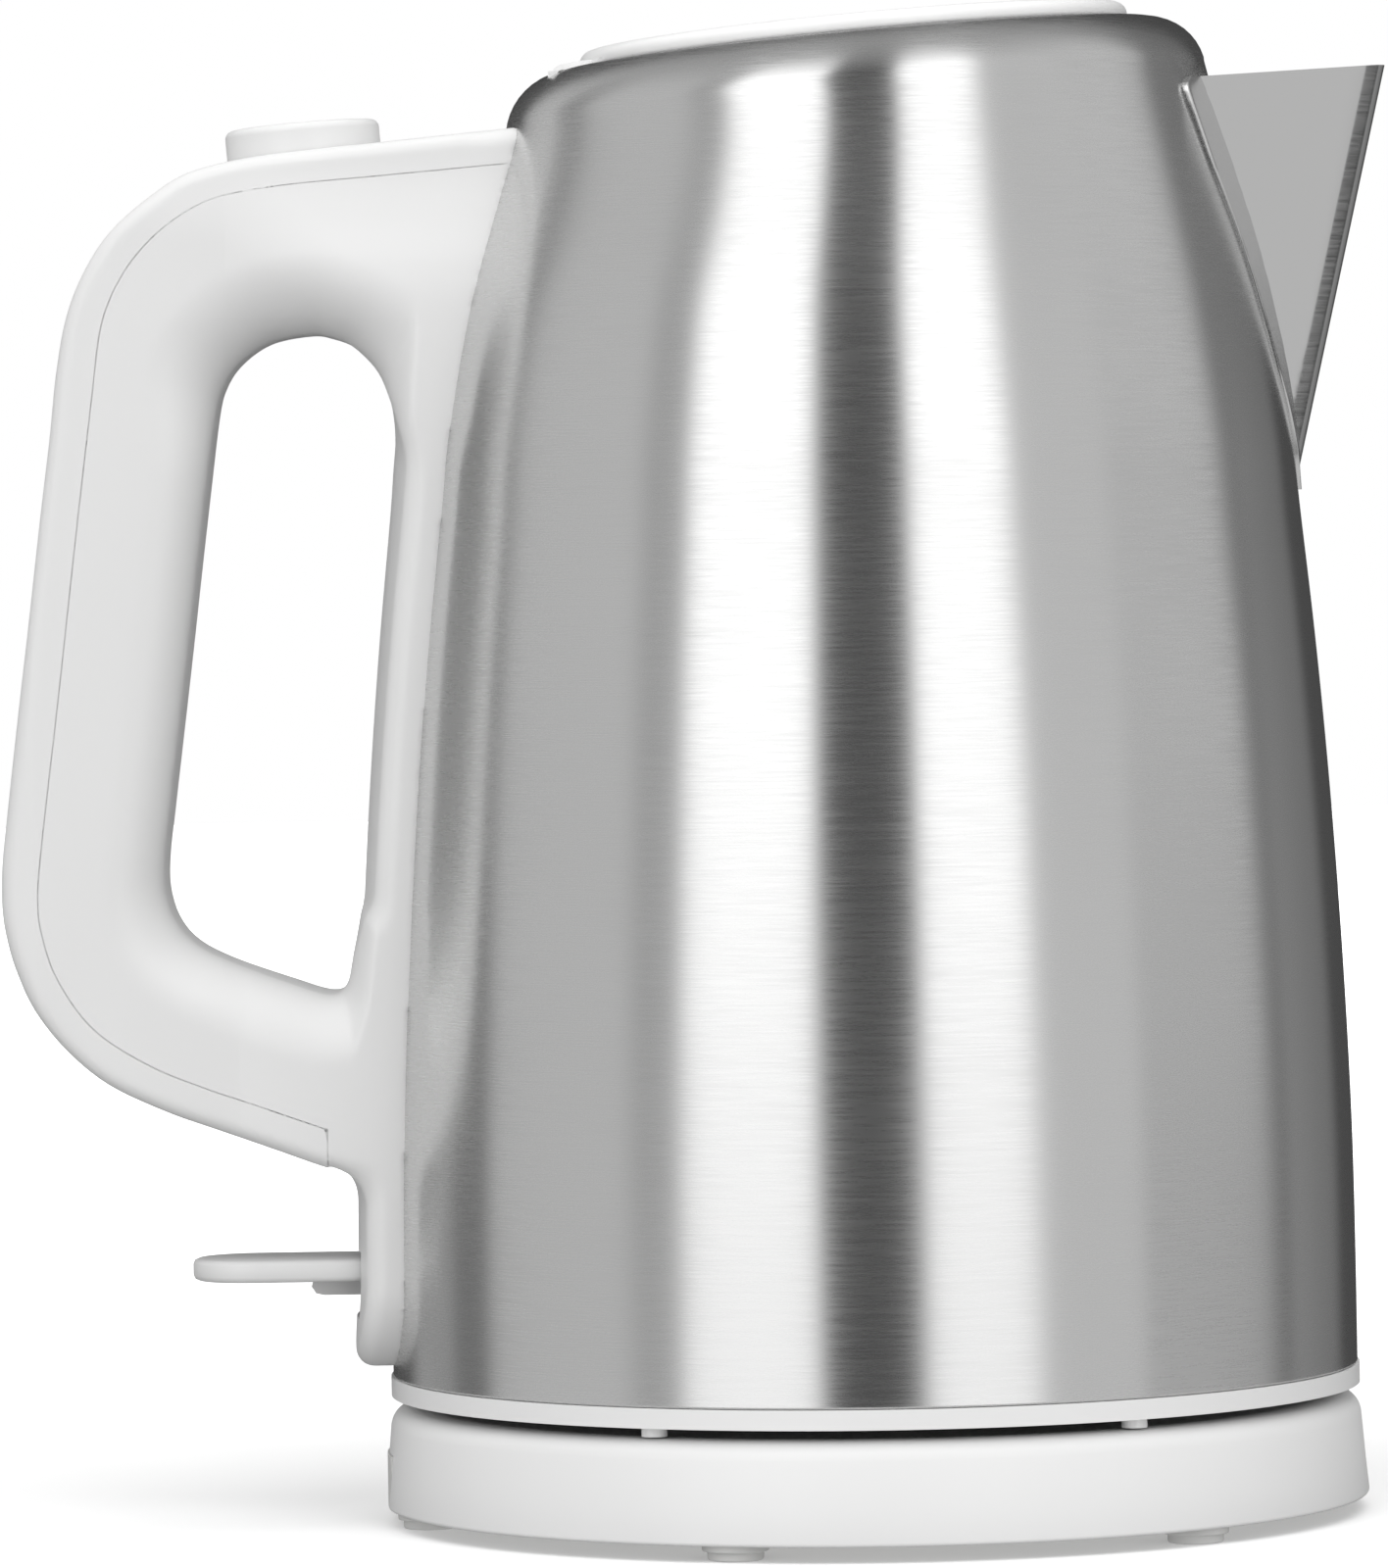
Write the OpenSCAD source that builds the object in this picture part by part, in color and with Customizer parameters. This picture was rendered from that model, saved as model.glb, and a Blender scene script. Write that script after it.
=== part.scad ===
// Electric kettle: a steel jug with a folded sheet spout, a plastic handle and a round lid,
// standing on a round power base.
// Units are millimetres, +Z is up and +X is the spout side.
// Every sub-part is drawn about the jug's own axis, and place() shifts that axis to the origin's frame.

/* [Jug] */
// Outer radius of the straight lower part of the steel jug
jug_r = 77.1; // [76.5:0.1:77.5]
// How much smaller the radius is at the top of the taper
jug_taper = 20.5; // [18:0.5:22]
// Height of the slanted top, measured on the axis
top_z = 234.3; // [232:0.5:236]
// Slope of the top and the lid, rising towards the spout, in degrees
top_slant = 4.4; // [4:0.2:5]
// Thickness of the steel sheet
steel_t = 0.8; // [0.6:0.1:1]
// Radius of the rounded shoulder round the top
shoulder_r = 9.8; // [9:0.2:10.4]

/* [Lid] */
// Radius of the lid's visible disc
lid_r = 43.8; // [43:0.2:44.6]
// Height of the lid's top above the steel
lid_h = 3; // [2.5:0.1:3.6]

/* [Spout] */
// Distance of the spout's tip from the jug's axis
spout_tip_x = 84.6; // [82:0.2:86]
// Height of the spout's tip
spout_tip_z = 229.8; // [228:0.2:231]
// Radius of the fold along the spout's front
fold_r = 7; // [6:0.5:8]

/* [Handle] */
// Half the width of the strap against the steel
strap_half = 20.5; // [19:0.5:22]
// Half the width of the grip
grip_half = 17; // [16:0.5:18]
// Radius of the lid button
button_r = 12.3; // [11.5:0.1:12.5]
// Half the width of the switch lever's paddle
lever_half = 10; // [8:0.5:10]

/* [Base] */
// Outer radius of the power base at its foot
base_r = 78.8; // [78:0.2:80]
// Height of the power base's deck above the table
base_h = 18.4; // [18:0.1:18.6]
// Number of feet under the base
foot_count = 6; // [3:1:8]

/* [Hidden] */
$fn = 96;

// Colours
steel_colour = "silver";
white_colour = "whitesmoke";
inner_colour = "gainsboro";
rubber_colour = "dimgray";
brass_colour = "goldenrod";
dark_colour = "dimgray";

// Outermost point of the handle, used to centre the whole kettle on the origin
handle_x = -138.3;
axis_x = -(handle_x + spout_tip_x) / 2;

// Jug levels
skirt_z = 23.4;         // lower edge of the steel
straight_z = 45;        // where the taper starts
blend_z = 205;          // where level rings start to lean towards the slanted top
cap_r = 56.3;           // radius of the slanted shoulder
taper_power = 2.2;
taper_top_z = 228.7;
mouth_r = 41.5;         // hole in the steel top
collar_r = 39.8;        // inside of the plastic collar in the mouth

// Spout, a wedge of sheet that stands against the taper
spout_foot_z = 163;     // where the front edge leaves the steel
spout_foot_x = 69.4;
spout_above_z = 245;    // level above the rim that the wedge is drawn up to
spout_wing_y = 30;      // half width of the wedge at that level, where it meets the jug
spout_wing_x = 39.5;
rim_slope = 6.5;        // the rim rises a little more steeply than the lid

// Running clearances
fit = 0.05;             // pins in bores
gap = 0.3;              // between moving pieces
seat = 0.2;             // between pieces fixed to each other
seam = -0.15;           // shift that leaves a seam at the edge of the handle's cover

// Base levels
base_floor_z = 2.5;
wall_t = 2.2;
deck_step_r = 70;
deck_drop = 0.8;
post_r = 17.5;          // connector post in the middle of the base
post_z = 31;

deck_under_z = base_h - deck_drop - wall_t;
contact_ring_r = [13, 7.5];
contact_z = 20;
earth_z = 8;
foot_circle_r = 72.5;
foot_start = 11.5;      // angle of the first foot
foot_r = 4.35;
foot_pad_h = 1.4;
screw_r = 1.5;
screw_head_r = 3;

// Inside the jug's skirt
ring_z = 20.2;          // underside of the jug's base ring
plate_z = 48;           // underside of the heating plate
element_ring_r = 36;
element_r = 3.4;
tube_x = -52;           // steam tube
tube_r = 4;
gland_z = 7.4;          // height of the cord's gland
gland_bore_r = 2.8;
gland_half = 11.8;
gland_top = 11;
clamp_x = -58;
jug_screw_z = 32;       // underside of the studs that the jug's base is screwed to

// Handle and lever places
strap_z = 25.2;         // bottom of the strap
strap_top_z = 217.5;
strap_t = 5.2;
strap_corner_r = 13;
button_x = -88;
handle_top_z = 218.9;   // handle's top surface at the button
handle_slant = 4.2;
lever_x = -70;          // lever's pivot
lever_z = 40.6;
lever_pin_r = 1.5;
cover_end_x = -86.2;    // lower end of the handle's cover
cover_screw_z = [52, 200];
lever_tip_x = -108.8;
lever_top_z = 42.4;
lever_t = 3.5;

// Lid, in its slanted frame
lid_under = 0.5;
lid_edge = 2.2;
hinge_u = -46.4;
hinge_w = -1.4;
hinge_pin_r = 1.1;
knuckle_r = 2.1;
hinge_arm_y = 10.5;     // middle of each hinge arm
hinge_half = 17;        // half width of the housing that carries the hinge pin

// ---------- helpers ----------

function jug_radius(z) =
    jug_r - jug_taper * pow(max(0, z - straight_z) / (taper_top_z - straight_z), taper_power);

// Smooth curve through control points (Catmull-Rom), n steps on each stretch
function curve_point(a, b, c, d, t) =
    0.5 * (2 * b + (c - a) * t + (2 * a - 5 * b + 4 * c - d) * t * t + (3 * b - a - 3 * c + d) * t * t * t);
function smooth(p, n = 4) = concat(
    [for (i = [0 : len(p) - 2], k = [0 : n - 1])
        curve_point(p[max(i - 1, 0)], p[i], p[i + 1], p[min(i + 2, len(p) - 1)], k / n)],
    [p[len(p) - 1]]);

// Round bars across the kettle on the lever's pivot and on the lid's hinge
module bar(r, h) rotate([90, 0, 0]) cylinder(r = r, h = h, center = true);
module lever_axle(r, h) translate([lever_x, 0, lever_z]) bar(r, h);
module hinge_axle(r, h) translate([hinge_u, 0, hinge_w]) bar(r, h);

module place() translate([axis_x, 0, 0]) children();

module lid_frame() translate([0, 0, top_z]) rotate([0, -top_slant, 0]) children();

module button_frame() translate([button_x, 0, handle_top_z]) rotate([0, -handle_slant, 0]) children();

// Side outline in X and Z, given width along Y
module across(half) rotate([90, 0, 0]) translate([0, 0, -half]) linear_extrude(height = 2 * half) children();

// Ring of things at equal angles
module around(count, start = 0) for (i = [0 : count - 1]) rotate([0, 0, start + i * 360 / count]) children();

// Ring with a rectangular section
module ring(r_out, r_in, z0, z1) rotate_extrude() translate([r_in, z0]) square([r_out - r_in, z1 - z0]);

// Box from its two corners
module block(a, b) translate(a) cube(b - a);

// Helical spring along +Z, from z = 0
module coil(r, wire, height, turns) {
    sides = 6;
    rings = turns * 14;
    points = [for (i = [0 : rings], k = [0 : sides - 1])
        let (a = 360 * turns * i / rings, b = 360 * k / sides, q = r + wire * cos(b))
        [q * cos(a), q * sin(a), wire + (height - 2 * wire) * i / rings + wire * sin(b)]];
    sides_faces = [for (i = [0 : rings - 1], k = [0 : sides - 1])
        [i * sides + k, (i + 1) * sides + k, (i + 1) * sides + (k + 1) % sides, i * sides + (k + 1) % sides]];
    first = [for (k = [0 : sides - 1]) k];
    last = [for (k = [sides - 1 : -1 : 0]) rings * sides + k];
    polyhedron(points, concat(sides_faces, [first, last]));
}

// Whole outer form of the jug, grown outwards by g, from height z0 up
module jug_form(g, z0) {
    steps = 16;
    levels = [for (i = [0 : steps]) straight_z + (blend_z - straight_z) * i / steps];
    wall = [for (z = levels) [jug_radius(z) + g, z]];
    rotate_extrude() polygon(concat([[0, z0], [jug_r + g, z0]], wall, [[0, blend_z]]));
    hull() {
        translate([0, 0, blend_z - 0.02]) cylinder(r = jug_radius(blend_z) + g, h = 0.02, $fn = 64);
        lid_frame() translate([0, 0, -shoulder_r]) cylinder(r = cap_r + g, h = 0.02, $fn = 64);
    }
    lid_frame() rotate_extrude() {
        translate([0, -shoulder_r]) square([cap_r - shoulder_r, shoulder_r + g]);
        intersection() {
            translate([cap_r - shoulder_r, -shoulder_r]) circle(r = shoulder_r + g);
            translate([cap_r - shoulder_r - 1, -shoulder_r]) square(shoulder_r + g + 2);
        }
    }
}

// ---------- power base ----------

// Outline of the base's wall and deck, half section
module housing_section(inset) {
    top = base_h - inset;
    r = base_r - inset;
    polygon([[0, 0], [r - 0.2, 0], [r, 0.8], [r - 1.3, top - 1.9], [r - 1.7, top - 0.9], [r - 2.5, top - 0.2],
             [r - 3.3, top], [deck_step_r, top], [deck_step_r - 1, top - deck_drop], [0, top - deck_drop]]);
}

module base_housing() color(white_colour) difference() {
    rotate_extrude() difference() {
        housing_section(0);
        housing_section(wall_t);
        square([2 * (post_r + 1), 3 * base_h], center = true);
        square([3 * base_r, 2 * base_floor_z], center = true);
    }
    // Notch for the cord's gland at the back
    block([-base_r - 2, -gland_half - seat, 0], [-base_r + 8, gland_half + seat, gland_top + seat]);
}

module base_screw_places() around(4, 45) translate([48, 0, 0]) children();

module base_floor() color(inner_colour) difference() {
    union() {
        ring(base_r - wall_t - 0.6, 6, base_floor_z, base_floor_z + 2);
        // Bosses for the screws and a rib ring under the connector
        base_screw_places() translate([0, 0, base_floor_z])
            cylinder(r = 4, h = deck_under_z - base_floor_z - 0.1);
        ring(24, 22, base_floor_z, 12);
    }
    base_screw_places() {
        cylinder(r = screw_r + 0.1, h = deck_under_z - 1.5);
        cylinder(r = screw_head_r + 0.2, h = base_floor_z + 1);
    }
    block([-base_r - 2, -gland_half - gap, 0], [-base_r + 9, gland_half + gap, gland_top]);
}

// Each foot is a pad on a wider step
module base_feet() color(rubber_colour) around(foot_count, foot_start) translate([foot_circle_r, 0, 0]) {
    cylinder(r = foot_r, h = foot_pad_h);
    translate([0, 0, foot_pad_h]) cylinder(r = foot_r + 0.85, h = base_floor_z - foot_pad_h);
}

module base_connector() color(dark_colour) difference() {
    union() {
        translate([0, 0, base_floor_z + 2]) cylinder(r = post_r, h = post_z - base_floor_z - 3);
        translate([0, 0, post_z - 1]) cylinder(r1 = post_r, r2 = post_r - 1, h = 1);
        ring(21, post_r - 1, base_floor_z + 2, 12);
    }
    // Two ring grooves for the live and neutral contacts, and the earth pin's socket
    for (r = contact_ring_r) ring(r + 1.2, r - 1.2, contact_z, post_z + 1);
    translate([0, 0, earth_z]) cylinder(r = 2.6, h = post_z);
}

module connector_contacts() color(brass_colour) {
    translate([0, 0, earth_z]) cylinder(r = 1.8, h = post_z - 10);
    for (r = contact_ring_r) ring(r + 0.6, r - 0.6, contact_z, post_z - 4);
}

module cord_gland() color(inner_colour) difference() {
    intersection() {
        block([-base_r - 1, -gland_half, base_floor_z], [-base_r + 7.8, gland_half, gland_top]);
        cylinder(r = base_r - 0.6, h = 20);
    }
    translate([-base_r, 0, gland_z]) rotate([0, 90, 0]) cylinder(r = gland_bore_r, h = 40, center = true);
}

module cord_clamp() color(white_colour) difference() {
    block([clamp_x - 4, -9, base_floor_z + 2], [clamp_x + 4, 9, gland_top + 1]);
    translate([clamp_x, 0, gland_z]) rotate([0, 90, 0]) cylinder(r = gland_bore_r, h = 20, center = true);
}

module base_screws() color("silver") base_screw_places() translate([0, 0, base_floor_z - 1]) {
    translate([0, 0, 0.6]) cylinder(r = screw_head_r, h = 1.2);
    cylinder(r = screw_r, h = 11);
}

// ---------- jug ----------

module coupler_socket() color(dark_colour) {
    ring(23.6, post_r + gap + 0.3, 21, 30);
    ring(25.4, post_r + gap + 0.3, 24, 26);
}

module coupler_cap() color(dark_colour) {
    ring(27.4, 25.8, 21, 34.5);
    ring(27.4, 23.9, 31, 34.5);
}

// Slot that the switch lever swings in, from x inwards
module lever_slot(x) block([x, -lever_half - 0.6, 33], [-70, lever_half + 0.6, 43.6]);

module body_shell() color(steel_colour) difference() {
    jug_form(0, skirt_z);
    jug_form(-steel_t, skirt_z - 2);
    // Mouth under the lid, and the notch for the lid's hinge
    lid_frame() cylinder(r = mouth_r, h = 10, center = true);
    lid_frame() block([hinge_u - 2.6, -hinge_half - seat, -6], [-30, hinge_half + seat, 4]);
    // Pouring hole behind the spout
    translate([40, 0, 0]) rotate([90, 0, 90]) linear_extrude(height = 30)
        polygon([[-6, 190], [6, 190], [12, 219], [-12, 219]]);
    // Slots for the lid's latch and for the switch lever
    block([-62, -6, 211.5], [-46, 6, 218]);
    lever_slot(-80);
}

// Distance from the axis of the spout's straight front edge
function spout_front(z) =
    spout_foot_x + (spout_tip_x - spout_foot_x) * (z - spout_foot_z) / (spout_tip_z - spout_foot_z);

module spout_wedge(inset) hull() {
    r = fold_r - inset;
    translate([spout_front(spout_foot_z) - fold_r, 0, spout_foot_z]) cylinder(r = r, h = 0.02, $fn = 40);
    translate([spout_front(spout_above_z) - fold_r, 0, spout_above_z]) cylinder(r = r, h = 0.02, $fn = 40);
    for (side = [-1, 1])
        translate([spout_wing_x, side * (spout_wing_y - 1.25 * inset), spout_above_z])
            cylinder(r = 0.2, h = 0.02, $fn = 8);
}

module spout() color(steel_colour) difference() {
    spout_wedge(0);
    spout_wedge(steel_t);
    jug_form(0.05, 100);
    translate([spout_tip_x, 0, spout_tip_z]) rotate([0, -rim_slope, 0]) block([-90, -60, 0], [30, 60, 60]);
}

module spout_filter() color(inner_colour) difference() {
    block([50, -15, 187], [52, 15, 221]);
    for (y = [-12 : 4 : 12], z = [189.5 : 5 : 214.5]) block([49, y - 1.4, z], [53, y + 1.4, z + 3.6]);
}

module lid_collar() color(white_colour) lid_frame() difference() {
    union() {
        ring(mouth_r - seat, collar_r, -11, -0.2);
        ring(mouth_r + 3, collar_r, -2.6, -steel_t - 0.1);
        // Housing that carries the hinge pin
        block([hinge_u - 2.4, -hinge_half, -6], [-40.4, hinge_half, -0.4]);
    }
    cylinder(r = collar_r, h = 40, center = true);
    // Room for the lid's two hinge arms
    for (side = [-1, 1]) translate([0, side * hinge_arm_y, 0])
        block([hinge_u - 3, -3.3, -4.4], [-30, 3.3, 4]);
    hinge_axle(hinge_pin_r, 60);
}

module hinge_pin() color(steel_colour) lid_frame() hinge_axle(hinge_pin_r, 33);

module hinge_spring() color(steel_colour) lid_frame()
    translate([hinge_u + 2.8, -5.5, -8.4]) rotate([-90, 0, 0]) coil(1.7, 0.35, 11, 6);

module steam_tube() color(steel_colour) translate([tube_x, 0, 0]) {
    ring(tube_r, tube_r - 0.6, 40, 206);
    ring(tube_r + 1.4, tube_r - 0.6, 44.6, 45.6);
}

module jug_screw_places() around(3, 90) translate([56, 0, 0]) children();

module heating_plate() color(steel_colour) difference() {
    union() {
        translate([0, 0, plate_z]) cylinder(r = jug_r - steel_t - 0.2, h = 1.2);
        ring(jug_r - steel_t - 0.2, jug_r - steel_t - 1.2, plate_z - 4, plate_z + 0.5);
        // Studs that the base moulding is screwed to
        jug_screw_places() translate([0, 0, jug_screw_z]) cylinder(r = 3.2, h = plate_z - jug_screw_z + 0.5);
    }
    jug_screw_places() translate([0, 0, jug_screw_z - 2]) cylinder(r = screw_r + 0.1, h = 14);
    translate([tube_x, 0, 30]) cylinder(r = tube_r, h = 30);
}

module heat_diffuser() color("lightgray") translate([0, 0, plate_z - 3]) cylinder(r = 45, h = 2.95);

module heating_element() color("darkgray") {
    // Open ring, with a straight cold pin down from each end
    translate([0, 0, plate_z - 3.1 - element_r]) difference() {
        rotate_extrude() translate([element_ring_r, 0]) circle(r = element_r);
        linear_extrude(height = 20, center = true) polygon([[0, 0], [70, 34], [70, -34]]);
    }
    for (a = [34, 326]) rotate([0, 0, a]) translate([element_ring_r, 0, 33]) cylinder(r = 1.9, h = 8);
}

module bimetal_discs() color(brass_colour) for (side = [-1, 1])
    translate([0, side * 12, 42.4]) cylinder(r = 9, h = 0.6);

module controller() color(dark_colour) difference() {
    union() {
        translate([0, 0, 35]) cylinder(r = 26, h = 5);
        for (side = [-1, 1]) translate([0, side * 12, 40]) cylinder(r = 10, h = 2.2);
        // Trip arm that reaches back to the switch lever
        block([-56, -5, 35.5], [-24, 5, 38]);
    }
    translate([0, 0, 30]) cylinder(r = post_r, h = 7);
}

module jug_base() color(white_colour) difference() {
    union() {
        // Visible ring under the steel, and the upstand inside it
        ring(jug_r + 0.3, 72, ring_z, skirt_z - 0.1);
        ring(jug_r - steel_t - 0.2, 73.8, skirt_z - 1, 31);
        ring(73, 28, ring_z + 2, ring_z + 4);
        ring(30, 27.7, ring_z + 0.4, 26);
        // Small rest pips that touch down on the power base
        around(6, 1.5) translate([73.6, 0, ring_z - 1.5]) cylinder(r = 2, h = 3);
        // Ears for the switch lever's pin
        for (side = [-1, 1]) translate([lever_x, side * 7, 0]) {
            block([-3, -1.4, ring_z + 3], [3, 1.4, lever_z]);
            translate([0, 0, lever_z]) rotate([90, 0, 0]) cylinder(r = 3, h = 2.8, center = true);
        }
    }
    lever_axle(lever_pin_r, 30);
    jug_screw_places() translate([0, 0, 15]) cylinder(r = screw_r + 0.2, h = 20);
    // Room for the lever's swing
    block([-80, -5.5, ring_z + 7], [-60, 5.5, 50]);
}

module jug_base_screws() color("silver") jug_screw_places() translate([0, 0, ring_z + 0.8]) {
    cylinder(r = screw_head_r, h = 1.15);
    cylinder(r = screw_r, h = 16);
}

// ---------- handle ----------

// Outer edge of the handle from the jug's shoulder, round the grip, to the foot of the strap
handle_outer = [[-50, 222.6], [-75, 219.9], [-100, 218], [-109, 214.6], [-117.6, 207.5], [-124, 198.1],
                [-127.2, 187], [-130, 166.8], [-134.2, 135], [-137.6, 107.4], [handle_x, 98], [-136, 88.7],
                [-128.1, 76.1], [-113.9, 66.7], [-98, 60.9], [-88.3, 57.3], [-83.4, 52.5], [-82.1, 45],
                [-82.6, 35.4], [-83.2, 29.1], [-81.5, 25.9], [-78, strap_z]];
// Parting line between the handle and its outer cover
cover_line = [[-50, strap_top_z], [-75, 216.1], [-101.9, 213.6], [-109.8, 207.5], [-116.5, 200.4],
              [-120.6, 190], [-123.7, 170], [-128.6, 132.4], [-131.8, 107.4], [-132.3, 99],
              [-130.1, 88.6], [-122, 77.5], [-106.3, 69.2], [cover_end_x, 62.3]];
// Edge of the finger hole
finger_hole = [[-88.2, 188], [-97.1, 185.6], [-101.4, 179], [-104.6, 157.4], [-108.2, 130],
               [-111.2, 104.2], [-108.6, 95.6], [-100, 90], [-87.7, 85.4], [-82.4, 86], [-80.6, 93],
               [-79.1, 119.9], [-76.2, 150], [-73.8, 173], [-76, 183.4], [-82, 187]];

module handle_side() polygon(concat(smooth(handle_outer), [[-40, 25.2], [-40, 222.6]]));

module cover_side() intersection() {
    handle_side();
    polygon(concat(smooth(cover_line), [[cover_end_x, 20], [-170, 20], [-170, 260], [-50, 260]]));
}

module finger_side() polygon(smooth(concat(finger_hole, [finger_hole[0]])));

// Plan of the handle: as wide as the strap against the jug, narrowing to the grip
module handle_plan() {
    edge = smooth([[-30, strap_half], [-80, strap_half], [-90, grip_half + 3], [-100, grip_half + 0.8],
                   [-118, grip_half], [-132, grip_half - 1.6], [-137, grip_half - 5],
                   [handle_x, grip_half - 9]]);
    polygon(concat(edge, [for (i = [len(edge) - 1 : -1 : 0]) [edge[i][0], -edge[i][1]]]));
}

// Side outline given the handle's width and its rounded plan
module handle_block() intersection() {
    across(strap_half) children();
    linear_extrude(height = 260) handle_plan();
}

// Strap seen from behind, with its two bottom corners rounded
module strap_window() rotate([90, 0, -90]) linear_extrude(height = 200) hull() {
    for (side = [-1, 1]) {
        translate([side * (strap_half - strap_corner_r), strap_z + strap_corner_r])
            circle(r = strap_corner_r, $fn = 48);
        translate([side * (strap_half - 1), 240]) circle(r = 1, $fn = 16);
    }
}

// Room inside the handle for the button, the latch and their springs
module latch_room() button_frame() {
    translate([0, 0, -27]) cylinder(r = 14.4, h = 27.5);
    block([-13, -8.6, -16], [24, 8.6, -10.4]);
    block([17, -6, -16], [40, 6, -4.6]);
}

module handle_grip() color(white_colour) difference() {
    intersection() {
        union() {
            handle_block() difference() {
                handle_side();
                cover_side();
                finger_side();
                // The grip and its lower arm stay clear of the strap's own sweep round the jug
                polygon([[-40, 84], [-40, 190], [-66, 190], [-72, 84]]);
            }
            // Strap that wraps part of the way round the steel
            jug_form(strap_t, strap_z);
        }
        strap_window();
        block([-170, -strap_half, strap_z], [-30, strap_half, strap_top_z]);
    }
    jug_form(seat + fit, 20);
    // The cover takes the place of everything beyond the parting line
    across(strap_half + 1) cover_side();
    latch_room();
    // Hollow of the grip behind the cover
    across(grip_half - 4)
        polygon([[-107, 200], [-114, 190], [-119.5, 160], [-126, 112], [-125.5, 98], [-118, 86],
                 [-112, 84], [-115.4, 100], [-113, 122], [-108.5, 156], [-105, 182]]);
    // Slot for the switch lever, and bores for the two cover screws
    lever_slot(-90);
    for (z = cover_screw_z) translate([-60, 0, z]) rotate([0, -90, 0])
        cylinder(r = screw_r + 0.1, h = 24 + (cover_screw_z[1] - z) / 10);
}

module handle_cover() color(white_colour) difference() {
    handle_block() difference() {
        cover_side();
        // Thin seam kept between the cover and the grip
        translate([seam, 0])
            polygon(concat(smooth(cover_line), [[cover_end_x, 20], [-40, 20], [-40, strap_top_z]]));
    }
    jug_form(seat + fit, 20);
    button_frame() translate([0, 0, -30]) cylinder(r = button_r + gap, h = 60);
}

module handle_screws() color("silver") {
    translate([-63.5, 0, cover_screw_z[1]]) rotate([0, -90, 0]) cylinder(r = screw_r, h = 12);
    translate([-78, 0, cover_screw_z[0]]) rotate([0, -90, 0]) cylinder(r = screw_r, h = 3);
}

// Button: a thick cap with a retaining rim under the cover
module lid_button() color(white_colour) button_frame() difference() {
    union() {
        translate([0, 0, -7.4]) cylinder(r = button_r, h = 10.8);
        translate([0, 0, 3.4]) cylinder(r1 = button_r, r2 = button_r - 0.8, h = 0.8);
        translate([0, 0, -6.6]) cylinder(r = button_r + 1.4, h = 2);
    }
    translate([0, 0, -9]) cylinder(r = button_r - 2, h = 10.4);
}

module button_spring() color(steel_colour) button_frame() translate([0, 0, -26.6]) coil(4.4, 0.5, 27.8, 7);

// Slide plate under the button, with a nose that reaches through the jug's wall to the lid's catch
module latch_slider() color(inner_colour) button_frame() difference() {
    union() {
        block([-10, -8.2, -15], [23, 8.2, -12]);
        block([20.4, -5.4, -15], [23, 5.4, -5.4]);
        block([20.4, -5.4, -8.4], [46.4, 5.4, -5.4]);
    }
    block([-8, -6, -20], [8, 6, -8]);
}

module switch_lever() color(white_colour) difference() {
    union() {
        // Flat paddle with a rounded end
        translate([0, 0, lever_top_z - lever_t]) linear_extrude(height = lever_t) hull() {
            translate([lever_tip_x + lever_half, 0]) circle(r = lever_half, $fn = 48);
            translate([-80, -lever_half]) square([1, 2 * lever_half]);
        }
        block([-80, -4.8, lever_top_z - lever_t], [lever_x, 4.8, lever_top_z]);
        lever_axle(4, 9.6);
        // Stiffening rib underneath
        block([-88, -1.2, 36.2], [-78, 1.2, 39.4]);
        translate([-88, 0, 38]) rotate([90, 0, 0]) cylinder(r = 1.8, h = 2.4, center = true);
        // Tongue that works the controller's trip arm
        block([lever_x, -4, 38.4], [-57.4, 4, 41]);
    }
    lever_axle(lever_pin_r + fit, 30);
}

module lever_pin() color(steel_colour) lever_axle(lever_pin_r, 17);

// ---------- lid ----------

module lid_top() color(white_colour) lid_frame() difference() {
    union() {
        rotate_extrude() intersection() {
            translate([0, lid_under]) square([lid_r, lid_h - lid_under]);
            union() {
                square([lid_r - lid_edge, lid_h]);
                square([lid_r, lid_h - lid_edge]);
                translate([lid_r - lid_edge, lid_h - lid_edge]) circle(r = lid_edge);
            }
        }
        // Two arms that end in the hinge knuckles
        for (side = [-1, 1]) translate([0, side * hinge_arm_y, 0]) {
            hinge_axle(knuckle_r, 6);
            block([hinge_u, -3, -3.4], [-36, 3, 1]);
        }
    }
    hinge_axle(hinge_pin_r + fit, 60);
    cylinder(r = lid_r - 8, h = 1.4);
}

// Slots that the lid's two hinge arms pass through
module arm_slots() for (side = [-1, 1]) translate([0, side * hinge_arm_y, 0])
    block([-42, -3.2, -3.6], [-30, 3.2, 1]);

module lid_liner() color(inner_colour) lid_frame() difference() {
    union() {
        ring(38.6, 36.6, -9, 0.4);
        translate([0, 0, -9]) cylinder(r = 38.2, h = 1.6);
        // Catch that the latch holds
        block([-39.4, -5, -17], [-36.6, 5, -7]);
    }
    // Groove for the seal
    ring(40, 37.6, -4.6, -2.4);
    arm_slots();
}

module lid_seal() color(rubber_colour) lid_frame() difference() {
    ring(39.4, 37.7, -4.5, -2.5);
    arm_slots();
}

// ---------- nodes ----------

place() base_housing();
place() base_floor();
place() base_feet();
place() base_connector();
place() connector_contacts();
place() cord_gland();
place() cord_clamp();
place() base_screws();
place() coupler_socket();
place() body_shell();
place() spout();
place() spout_filter();
place() lid_collar();
place() steam_tube();
place() heating_plate();
place() heat_diffuser();
place() heating_element();
place() bimetal_discs();
place() controller();
place() coupler_cap();
place() jug_base();
place() jug_base_screws();
place() handle_grip();
place() handle_cover();
place() handle_screws();
place() button_spring();
place() lever_pin();
place() hinge_pin();
place() hinge_spring();
place() lid_top();
place() lid_liner();
place() lid_seal();
place() lid_button();
place() latch_slider();
place() switch_lever();
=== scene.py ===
"""Electric kettle: steel jug, folded spout, white handle, lid and power base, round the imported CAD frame."""
import math

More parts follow.
